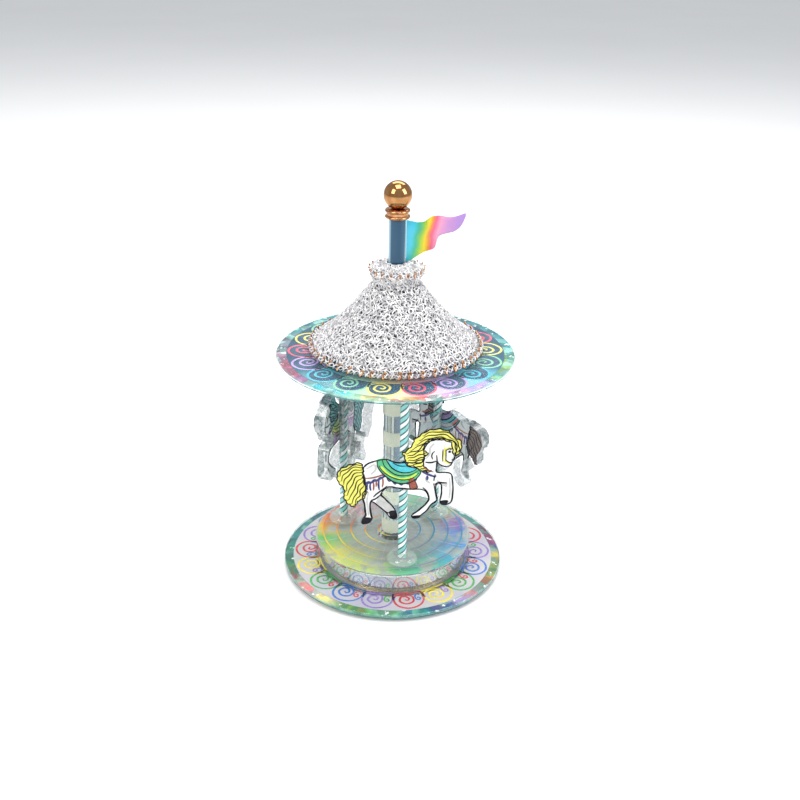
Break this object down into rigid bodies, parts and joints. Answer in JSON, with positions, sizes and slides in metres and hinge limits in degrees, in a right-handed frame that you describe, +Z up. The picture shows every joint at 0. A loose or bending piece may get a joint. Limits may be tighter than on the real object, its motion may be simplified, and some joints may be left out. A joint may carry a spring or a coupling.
{
  "type": "carousel music box",
  "caption": "Glass and acrylic carousel music box: turning floor with flat horses on striped poles, glass column, bevelled roof disc, spun-glass tent and pennant, over a wind-up comb movement.",
  "frame": {"origin": "on the surface the box stands on, on the axis that the carousel turns about", "axes": "+Z up; +X to the right and +Y away from someone facing the front horse, which stands near -Y"},
  "size_m": [0.127, 0.127, 0.2225],
  "materials": {
    "clear_glass": "clear polished glass with a faint green edge",
    "printed_glass_base": "bevelled clear glass with rainbow swirls printed round it",
    "printed_glass_roof": "bevelled glass, dark blue, with pastel swirls printed round it",
    "printed_glass_floor": "clear glass over a mirror, with rainbow rings and fine radial lines",
    "printed_acrylic": "clear acrylic plate with an opaque printed horse on each face",
    "striped_glass": "glass rod with teal and white spiral stripes",
    "column_print": "sleeve with cream bands and steel-blue windows",
    "spun_glass": "looped spun-glass lace",
    "blue_glass": "smoky blue glass tube",
    "rainbow_glass": "fused glass shaded from turquoise through yellow to pink and violet",
    "gilt": "polished rose-gold gilding",
    "mirror": "silvered mirror",
    "brass": "turned brass",
    "steel": "nickel-plated steel",
    "clear_plastic": "clear soft bumper",
    "cover_plastic": "white cover plate"
  },
  "bodies": {
    "base": {"bumper_feet": "clear_plastic", "base_disc": "printed_glass_base", "base_cover": "cover_plastic", "drum_wall": "clear_glass", "drum_liner": "mirror", "movement_bed": "steel", "bed_screws": "steel", "inner_bearing": "steel", "outer_bearing": "steel", "bearing_screws": "steel", "comb_block": "brass", "comb": "steel", "comb_screws": "steel", "governor_frame": "brass", "clutch_spring": "steel"},
    "carousel": {"spring_barrel": "brass", "barrel_lid": "brass", "mainspring": "steel", "turntable_hub": "brass", "turntable": "steel", "hub_screws": "steel", "floor_mirror": "mirror", "floor_plate": "printed_glass_floor", "centre_column": "clear_glass", "column_core": "column_print", "roof_disc": "printed_glass_roof", "horse_front": "printed_acrylic", "pole_front": "striped_glass", "horse_right": "printed_acrylic", "pole_right": "striped_glass", "horse_left": "printed_acrylic", "pole_left": "striped_glass", "pole_feet": "clear_glass", "tent": "spun_glass", "tent_rim": "gilt", "tent_collar": "spun_glass", "flag_pole": "blue_glass", "flag": "rainbow_glass", "finial_ring": "gilt", "finial_ball": "gilt"},
    "tune_drum": {"tune_cylinder": "brass", "tune_arbor": "steel", "tune_pinion": "brass", "tune_wheel": "brass"},
    "governor": {"governor_arbor": "steel", "governor_pinion": "brass", "worm_wheel": "brass"},
    "worm": {"governor_worm": "steel", "air_brake": "steel"},
    "key": {"winding_arbor": "steel", "key_boss": "steel", "key_trunnions": "steel"},
    "key_loop": {"key_ring": "steel"}
  },
  "joints": [
    {"name": "carousel_turn", "type": "hinge", "parent": "base", "child": "carousel", "pos_m": [0, 0, 0], "axis": [0, 0, 1], "continuous": true},
    {"name": "tune_drum_turn", "type": "hinge", "parent": "base", "child": "tune_drum", "pos_m": [0.0244, 0, 0.00865], "axis": [1, 0, 0], "continuous": true},
    {"name": "governor_turn", "type": "hinge", "parent": "base", "child": "governor", "pos_m": [0.0331, 0.00487, 0.00865], "axis": [1, 0, 0], "continuous": true},
    {"name": "worm_turn", "type": "hinge", "parent": "base", "child": "worm", "pos_m": [0.0338, 0.00847, 0.00865], "axis": [0, 0, 1], "continuous": true},
    {"name": "key_turn", "type": "hinge", "parent": "base", "child": "key", "pos_m": [0, 0, 0.0015], "axis": [0, 0, 1], "range_deg": [0, 1440]},
    {"name": "key_fold", "type": "hinge", "parent": "key", "child": "key_loop", "pos_m": [0, 0, 0.0015], "axis": [0, 1, 0], "range_deg": [0, 90]}
  ],
  "couplings": [
    {"joint": "tune_drum_turn", "follows": "carousel_turn", "ratio": -5},
    {"joint": "governor_turn", "follows": "carousel_turn", "ratio": 20},
    {"joint": "worm_turn", "follows": "carousel_turn", "ratio": -320}
  ]
}
